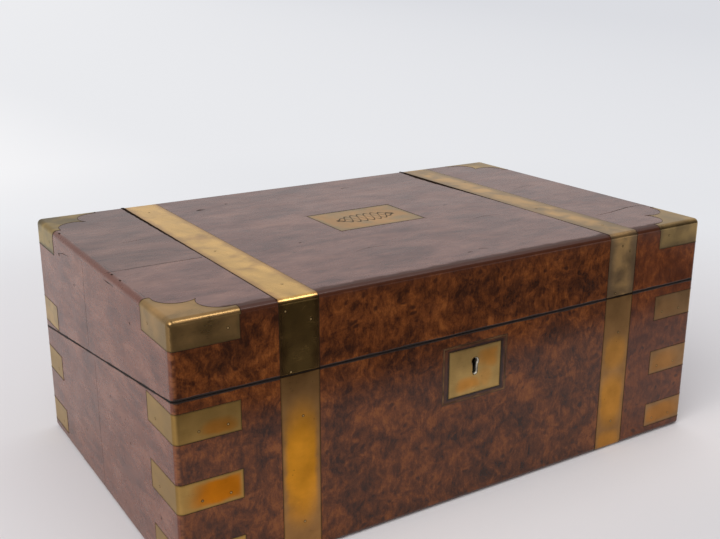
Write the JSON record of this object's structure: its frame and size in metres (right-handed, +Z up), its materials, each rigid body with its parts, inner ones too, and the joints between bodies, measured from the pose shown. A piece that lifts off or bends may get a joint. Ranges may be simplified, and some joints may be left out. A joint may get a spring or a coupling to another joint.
{
  "type": "writing box",
  "caption": "Brass-bound walnut writing box cut on a slope: the lid opens flat into a writing slope with lifting leather flaps, ink and pen fittings and hidden drawers.",
  "frame": {"origin": "middle of the flat underside of the closed box", "axes": "+X along the width to the viewer's right, +Y to the hinged back, +Z up"},
  "size_m": [0.4, 0.2512, 0.16],
  "materials": {
    "walnut": "aged French-polished burr and straight-grain walnut",
    "mahogany": "waxed mahogany fittings",
    "inlay_brass": "aged brass let in flush, with olive tarnish",
    "hinge_brass": "rubbed brass",
    "lock_brass": "dull brass",
    "lock_steel": "worn steel",
    "fittings_brass": "turned brass",
    "leather": "dark green skiver with a tooled line",
    "glass": "clear pressed glass"
  },
  "bodies": {
    "base_case": {"base_back_wall": "walnut", "base_corners_back_left": "inlay_brass", "base_corners_back_right": "inlay_brass", "base_corners_front_left": "inlay_brass", "base_corners_front_right": "inlay_brass", "base_flap_ledges": "mahogany", "base_flap_pivots": "fittings_brass", "base_floor": "walnut", "base_front_wall": "walnut", "base_left_wall": "walnut", "base_right_wall": "walnut", "base_strap_front_left": "inlay_brass", "base_strap_front_right": "inlay_brass", "base_straps_back": "inlay_brass", "drawer_post": "mahogany", "escutcheon_plate": "inlay_brass", "escutcheon_stringing": "inlay_brass", "hinge_base_leaf_left": "hinge_brass", "hinge_base_leaf_right": "hinge_brass", "hinge_pin_left": "hinge_brass", "hinge_pin_right": "hinge_brass", "ink_deck": "mahogany", "inkwell_cap_left": "fittings_brass", "inkwell_cap_right": "fittings_brass", "inkwell_left": "glass", "inkwell_right": "glass", "lock_case": "lock_brass", "partition": "mahogany", "pen_tray": "mahogany", "tray_divider_left": "mahogany", "tray_divider_right": "mahogany"},
    "lid_case": {"hinge_lid_leaf_left": "hinge_brass", "hinge_lid_leaf_right": "hinge_brass", "initial_plate": "inlay_brass", "lid_back_wall": "walnut", "lid_bracket_back_left": "inlay_brass", "lid_bracket_back_right": "inlay_brass", "lid_bracket_front_left": "inlay_brass", "lid_bracket_front_right": "inlay_brass", "lid_corners_back": "inlay_brass", "lid_flap_ledges": "mahogany", "lid_flap_pivots": "fittings_brass", "lid_front_wall": "walnut", "lid_left_wall": "walnut", "lid_right_wall": "walnut", "lid_strap_left": "inlay_brass", "lid_strap_right": "inlay_brass", "lid_top": "walnut", "link_plate": "lock_brass"},
    "base_flap": {"base_flap_board": "mahogany", "base_flap_leather": "leather"},
    "lid_flap": {"lid_flap_board": "mahogany", "lid_flap_leather": "leather"},
    "bolt": {"lock_bolt": "lock_steel"},
    "left_catch": {"flap_catch_left": "fittings_brass"},
    "right_catch": {"flap_catch_right": "fittings_brass"},
    "left_drawer": {"drawer_knob_left": "fittings_brass", "drawer_left": "mahogany"},
    "right_drawer": {"drawer_knob_right": "fittings_brass", "drawer_right": "mahogany"}
  },
  "joints": [
    {"name": "lid_hinge", "type": "hinge", "parent": "base_case", "child": "lid_case", "pos_m": [0, 0.1246, 0.08], "axis": [-1, 0, 0], "range_deg": [0, 180]},
    {"name": "base_flap_hinge", "type": "hinge", "parent": "base_case", "child": "base_flap", "pos_m": [0, 0.1095, 0.07709], "axis": [-1, 0, 0], "range_deg": [0, 45]},
    {"name": "lid_flap_hinge", "type": "hinge", "parent": "lid_case", "child": "lid_flap", "pos_m": [0, 0.1095, 0.08719], "axis": [1, 0, 0], "range_deg": [0, 45]},
    {"name": "lock_bolt_slide", "type": "slide", "parent": "base_case", "child": "bolt", "axis": [1, 0, 0], "range_m": [0, 0.006]},
    {"name": "left_catch_turn", "type": "hinge", "parent": "lid_case", "child": "left_catch", "pos_m": [-0.092, -0.1165, 0.11424], "axis": [0, 0.1406, 0.9901], "range_deg": [0, 180]},
    {"name": "right_catch_turn", "type": "hinge", "parent": "lid_case", "child": "right_catch", "pos_m": [0.092, -0.1165, 0.11424], "axis": [0, -0.1406, -0.9901], "range_deg": [0, 180]},
    {"name": "left_drawer_slide", "type": "slide", "parent": "base_case", "child": "left_drawer", "axis": [0, 1, 0], "range_m": [0, 0.05]},
    {"name": "right_drawer_slide", "type": "slide", "parent": "base_case", "child": "right_drawer", "axis": [0, 1, 0], "range_m": [0, 0.05]}
  ],
  "couplings": [
    {"joint": "base_flap_hinge", "follows": "lid_hinge", "ratio": 0.25},
    {"joint": "lid_flap_hinge", "follows": "lid_hinge", "ratio": 0.25}
  ]
}
